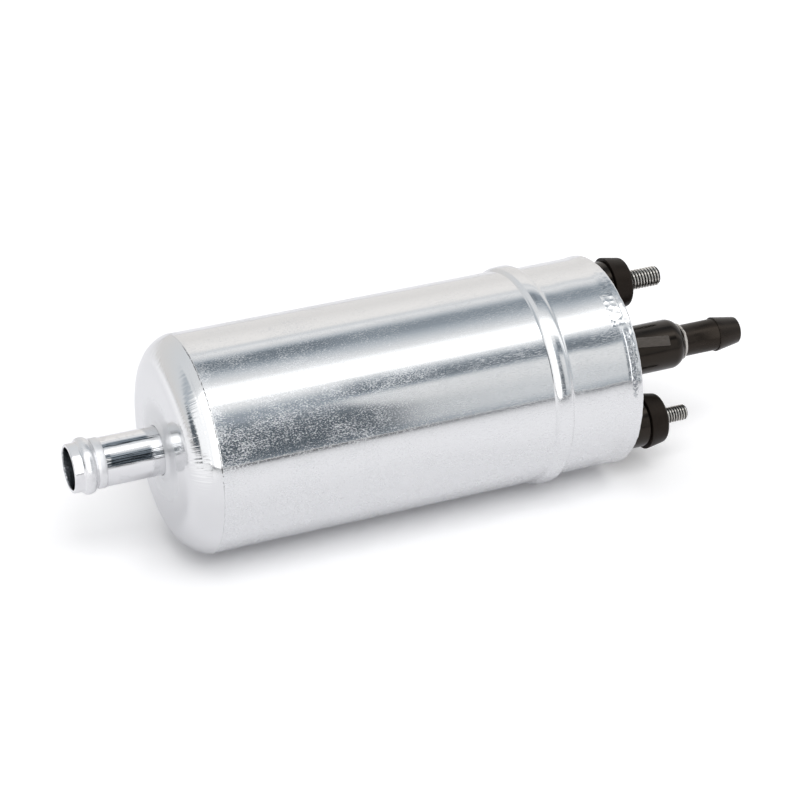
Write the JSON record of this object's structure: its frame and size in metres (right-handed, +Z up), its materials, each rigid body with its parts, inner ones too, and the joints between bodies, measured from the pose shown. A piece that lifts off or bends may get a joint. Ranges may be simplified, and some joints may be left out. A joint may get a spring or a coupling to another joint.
{
  "type": "in-line electric fuel pump",
  "caption": "In-line fuel pump: drawn aluminium can with an inlet pipe at one end and a plastic end cap with stud terminals, a non-return valve and a barbed outlet at the other.",
  "frame": {"origin": "on the pump's axis, at the middle of the can's parallel body, where a clamp band holds it", "axes": "+X along the axis from inlet to outlet, +Z up as the pump lies in the picture"},
  "size_m": [0.1737, 0.054, 0.054],
  "materials": {
    "drawn_aluminium": "drawn and brushed lengthwise, satin at the rolled bead",
    "plated_steel": "bright zinc plate",
    "terminal_steel": "bright zinc plate, rolled thread",
    "cap_plastic": "brown-black glass-filled moulding, half gloss",
    "boot_plastic": "black moulding, half gloss",
    "joint_resin": "milky, slightly clear bead of resin",
    "stage_aluminium": "cast and faced",
    "gear_steel": "sintered and ground",
    "hard_steel": "ground",
    "spring_steel": "drawn wire",
    "soft_iron": "phosphated",
    "ferrite": "sintered, dull",
    "bearing_bronze": "sintered bronze",
    "copper": "bare copper",
    "enamelled_copper": "enamelled wire, varnished",
    "seal_rubber": "smooth nitrile",
    "valve_rubber": "smooth fluorocarbon rubber",
    "brush_carbon": "pressed carbon",
    "inner_plastic": "natural moulding",
    "strainer_plastic": "dark moulding"
  },
  "bodies": {
    "housing": {"housing_can": "drawn_aluminium", "inlet_nipple": "plated_steel", "inlet_strainer": "strainer_plastic", "pump_inlet_cover": "stage_aluminium", "pump_seal_ring": "seal_rubber", "gear_ring": "gear_steel", "pump_outlet_plate": "stage_aluminium", "pump_screws": "hard_steel", "dowel_pins": "hard_steel", "relief_plug": "hard_steel", "relief_spring": "spring_steel", "front_bush": "bearing_bronze", "rear_bush": "bearing_bronze", "flux_ring": "soft_iron", "magnet_upper": "ferrite", "magnet_lower": "ferrite", "magnet_clips": "spring_steel", "brush_plate": "inner_plastic", "brush_spring_a": "spring_steel", "brush_spring_b": "spring_steel", "choke_core_a": "ferrite", "choke_core_b": "ferrite", "choke_winding_a": "enamelled_copper", "choke_winding_b": "enamelled_copper", "end_cap": "cap_plastic", "cap_seal_ring": "seal_rubber", "terminal_stud_m5": "terminal_steel", "terminal_stud_m4": "terminal_steel", "stud_seal_m5": "seal_rubber", "stud_seal_m4": "seal_rubber", "stud_washer_m5": "terminal_steel", "stud_washer_m4": "terminal_steel", "stud_nut_m5": "terminal_steel", "stud_nut_m4": "terminal_steel", "terminal_boot_m5": "boot_plastic", "terminal_boot_m4": "boot_plastic", "valve_seat": "bearing_bronze", "valve_spring": "spring_steel", "outlet_fitting": "cap_plastic", "outlet_joint_ring": "joint_resin"},
    "rotor": {"armature_shaft": "hard_steel", "armature_core": "soft_iron", "armature_insulators": "inner_plastic", "armature_winding": "enamelled_copper", "commutator_hub": "inner_plastic", "commutator_segments": "copper", "thrust_washers": "inner_plastic", "inner_gear": "gear_steel"},
    "gear_outer": {"outer_gear": "gear_steel"},
    "relief_valve": {"relief_ball": "hard_steel"},
    "non_return_valve": {"valve_plunger": "inner_plastic", "valve_seal": "valve_rubber"},
    "brush_first": {"brush_a": "brush_carbon"},
    "brush_second": {"brush_b": "brush_carbon"}
  },
  "joints": [
    {"name": "rotor_spin", "type": "hinge", "parent": "housing", "child": "rotor", "pos_m": [0, 0, 0], "axis": [1, 0, 0], "continuous": true},
    {"name": "outer_gear_spin", "type": "hinge", "parent": "housing", "child": "gear_outer", "pos_m": [-0.033, -0.0013, 0], "axis": [1, 0, 0], "continuous": true},
    {"name": "relief_lift", "type": "slide", "parent": "housing", "child": "relief_valve", "axis": [-1, 0, 0], "range_m": [0, 0.0015], "stiffness_N_per_m": 1500, "springref_m": -0.002, "deforming": ["relief_spring"]},
    {"name": "non_return_lift", "type": "slide", "parent": "housing", "child": "non_return_valve", "axis": [1, 0, 0], "range_m": [0, 0.003], "stiffness_N_per_m": 250, "springref_m": -0.002, "deforming": ["valve_spring"]},
    {"name": "brush_a_feed", "type": "slide", "parent": "housing", "child": "brush_first", "axis": [1, 0, 0], "range_m": [0, 0.003], "stiffness_N_per_m": 400, "springref_m": -0.0025, "deforming": ["brush_spring_a"]},
    {"name": "brush_b_feed", "type": "slide", "parent": "housing", "child": "brush_second", "axis": [1, 0, 0], "range_m": [0, 0.003], "stiffness_N_per_m": 400, "springref_m": -0.0025, "deforming": ["brush_spring_b"]}
  ],
  "couplings": [
    {"joint": "outer_gear_spin", "follows": "rotor_spin", "ratio": 0.85714}
  ]
}
